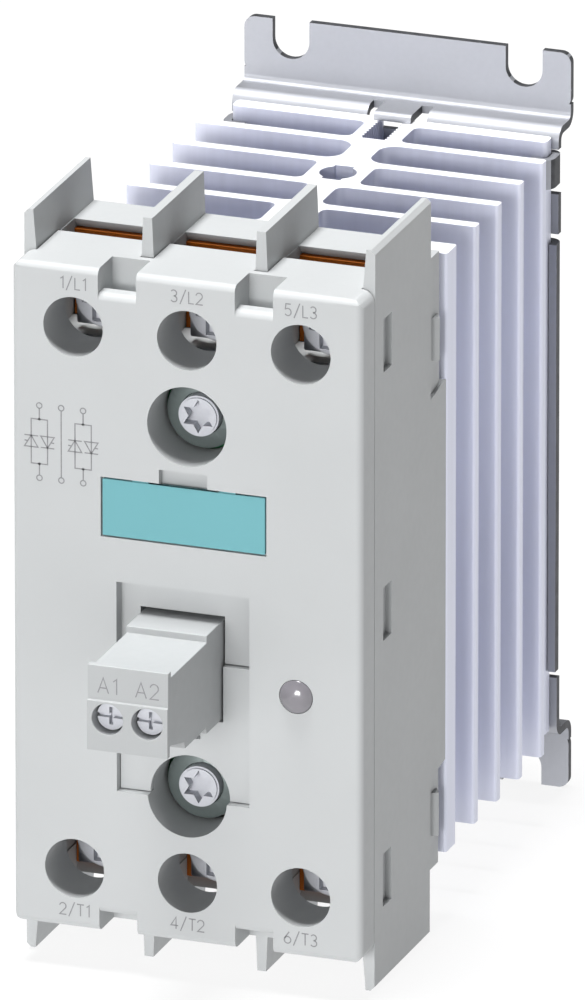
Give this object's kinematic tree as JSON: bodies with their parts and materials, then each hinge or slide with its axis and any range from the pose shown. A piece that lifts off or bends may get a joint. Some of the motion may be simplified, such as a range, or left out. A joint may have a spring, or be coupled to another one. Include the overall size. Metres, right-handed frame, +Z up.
{
  "type": "solid state relay",
  "caption": "Slim three-phase solid state relay with a plug-in control connector, on a finned heat sink with a rail and panel bracket.",
  "frame": {"origin": "centre of the rail seat: the middle of the rear face of the bracket main plate, level with the middle of the front face", "axes": "+X to the right seen from the front, +Y to the rear, into the panel, +Z up; the front face looks along -Y"},
  "size_m": [0.0458, 0.0978, 0.0962],
  "materials": {
    "housing_plastic": "fine spark-eroded light grey thermoplastic",
    "plug_plastic": "smooth light grey thermoplastic",
    "label_plastic": "smooth teal plastic",
    "lens_plastic": "smoky translucent dome",
    "led_epoxy": "clear red epoxy",
    "board_laminate": "green solder mask",
    "moulded_epoxy": "black moulded epoxy",
    "resistor_ceramic": "beige lacquer",
    "capacitor_sleeve": "dark sleeve",
    "header_plastic": "green plastic",
    "gold_plated_brass": "plated",
    "carrier_plastic": "orange brown thermoset",
    "plate_aluminium": "milled",
    "ceramic": "white ceramic with copper",
    "silicon": "metallised silicon",
    "screw_steel": "bright zinc plated",
    "dark_steel": "black oxide",
    "thermal_film": "grey thermal film",
    "sink_aluminium": "natural extruded, lightly anodised",
    "zinc_steel": "bright zinc plated sheet",
    "spring_steel": "drawn wire",
    "tinned_copper": "tinned copper"
  },
  "bodies": {
    "relay": {"front_cover": "housing_plastic", "base_housing": "housing_plastic", "plug_insert": "housing_plastic", "led_lens": "lens_plastic", "status_led": "led_epoxy", "control_board": "board_laminate", "trigger_modules": "moulded_epoxy", "board_resistors": "resistor_ceramic", "board_capacitor": "capacitor_sleeve", "control_header": "header_plastic", "header_pins": "gold_plated_brass", "terminal_carrier_upper": "carrier_plastic", "terminal_carrier_lower": "carrier_plastic", "module_base_plate": "plate_aluminium", "ceramic_substrate": "ceramic", "thyristor_chips": "silicon", "mounting_screws": "screw_steel", "spring_washers": "dark_steel", "thermal_pad": "thermal_film", "heat_sink": "sink_aluminium", "mounting_bracket": "zinc_steel", "bracket_screw": "screw_steel", "latch_spring": "spring_steel", "link_l2_t2": "tinned_copper", "rail_l1": "tinned_copper", "rail_l3": "tinned_copper", "rail_t1": "tinned_copper", "rail_t3": "tinned_copper"},
    "control_plug": {"plug_body": "plug_plastic", "plug_contacts": "gold_plated_brass"},
    "label": {"label_plate": "label_plastic"},
    "latch": {"rail_latch": "zinc_steel"},
    "plug_screw_a1": {"plug_screw_a1": "screw_steel"},
    "plug_cage_a1": {"plug_cage_a1": "gold_plated_brass"},
    "plug_screw_a2": {"plug_screw_a2": "screw_steel"},
    "plug_cage_a2": {"plug_cage_a2": "gold_plated_brass"},
    "clamp_l1": {"clamp_l1": "zinc_steel"},
    "screw_l1": {"screw_l1": "screw_steel"},
    "clamp_l2": {"clamp_l2": "zinc_steel"},
    "screw_l2": {"screw_l2": "screw_steel"},
    "clamp_l3": {"clamp_l3": "zinc_steel"},
    "screw_l3": {"screw_l3": "screw_steel"},
    "clamp_t1": {"clamp_t1": "zinc_steel"},
    "screw_t1": {"screw_t1": "screw_steel"},
    "clamp_t2": {"clamp_t2": "zinc_steel"},
    "screw_t2": {"screw_t2": "screw_steel"},
    "clamp_t3": {"clamp_t3": "zinc_steel"},
    "screw_t3": {"screw_t3": "screw_steel"}
  },
  "joints": [
    {"name": "control_plug_pull", "type": "slide", "parent": "relay", "child": "control_plug", "axis": [0, -1, 0], "range_m": [0, 0.025]},
    {"name": "label_pull", "type": "slide", "parent": "relay", "child": "label", "axis": [0, -1, 0], "range_m": [0, 0.012]},
    {"name": "latch_slide", "type": "slide", "parent": "relay", "child": "latch", "axis": [0, 0, -1], "range_m": [0, 0.003], "stiffness_N_per_m": 800, "springref_m": -0.004, "deforming": ["latch_spring"]},
    {"name": "plug_screw_a1_turn", "type": "hinge", "parent": "control_plug", "child": "plug_screw_a1", "pos_m": [-0.00374, -0.0895, -0.00795], "axis": [0, 1, 0], "range_deg": [0, 1600]},
    {"name": "plug_cage_a1_rise", "type": "slide", "parent": "control_plug", "child": "plug_cage_a1", "axis": [0, -1, 0], "range_m": [0, 0.002]},
    {"name": "plug_screw_a2_turn", "type": "hinge", "parent": "control_plug", "child": "plug_screw_a2", "pos_m": [0.00134, -0.0895, -0.00795], "axis": [0, 1, 0], "range_deg": [0, 1600]},
    {"name": "plug_cage_a2_rise", "type": "slide", "parent": "control_plug", "child": "plug_cage_a2", "axis": [0, -1, 0], "range_m": [0, 0.002]},
    {"name": "clamp_l1_travel", "type": "slide", "parent": "relay", "child": "clamp_l1", "axis": [0, 1, 0], "range_m": [0, 0.00346]},
    {"name": "screw_l1_turn", "type": "hinge", "parent": "clamp_l1", "child": "screw_l1", "pos_m": [-0.0146, -0.0645, 0.03495], "axis": [0, 1, 0], "range_deg": [0, 1780]},
    {"name": "clamp_l2_travel", "type": "slide", "parent": "relay", "child": "clamp_l2", "axis": [0, 1, 0], "range_m": [0, 0.00346]},
    {"name": "screw_l2_turn", "type": "hinge", "parent": "clamp_l2", "child": "screw_l2", "pos_m": [0, -0.0645, 0.03495], "axis": [0, 1, 0], "range_deg": [0, 1780]},
    {"name": "clamp_l3_travel", "type": "slide", "parent": "relay", "child": "clamp_l3", "axis": [0, 1, 0], "range_m": [0, 0.00346]},
    {"name": "screw_l3_turn", "type": "hinge", "parent": "clamp_l3", "child": "screw_l3", "pos_m": [0.0146, -0.0645, 0.03495], "axis": [0, 1, 0], "range_deg": [0, 1780]},
    {"name": "clamp_t1_travel", "type": "slide", "parent": "relay", "child": "clamp_t1", "axis": [0, 1, 0], "range_m": [0, 0.00346]},
    {"name": "screw_t1_turn", "type": "hinge", "parent": "clamp_t1", "child": "screw_t1", "pos_m": [-0.0146, -0.0645, -0.03495], "axis": [0, 1, 0], "range_deg": [0, 1780]},
    {"name": "clamp_t2_travel", "type": "slide", "parent": "relay", "child": "clamp_t2", "axis": [0, 1, 0], "range_m": [0, 0.00346]},
    {"name": "screw_t2_turn", "type": "hinge", "parent": "clamp_t2", "child": "screw_t2", "pos_m": [0, -0.0645, -0.03495], "axis": [0, 1, 0], "range_deg": [0, 1780]},
    {"name": "clamp_t3_travel", "type": "slide", "parent": "relay", "child": "clamp_t3", "axis": [0, 1, 0], "range_m": [0, 0.00346]},
    {"name": "screw_t3_turn", "type": "hinge", "parent": "clamp_t3", "child": "screw_t3", "pos_m": [0.0146, -0.0645, -0.03495], "axis": [0, 1, 0], "range_deg": [0, 1780]}
  ],
  "couplings": [
    {"joint": "plug_screw_a1_turn", "follows": "plug_cage_a1_rise", "rad_per_m": 13963},
    {"joint": "plug_screw_a2_turn", "follows": "plug_cage_a2_rise", "rad_per_m": 13963},
    {"joint": "screw_l1_turn", "follows": "clamp_l1_travel", "rad_per_m": 8976},
    {"joint": "screw_l2_turn", "follows": "clamp_l2_travel", "rad_per_m": 8976},
    {"joint": "screw_l3_turn", "follows": "clamp_l3_travel", "rad_per_m": 8976},
    {"joint": "screw_t1_turn", "follows": "clamp_t1_travel", "rad_per_m": 8976},
    {"joint": "screw_t2_turn", "follows": "clamp_t2_travel", "rad_per_m": 8976},
    {"joint": "screw_t3_turn", "follows": "clamp_t3_travel", "rad_per_m": 8976}
  ]
}
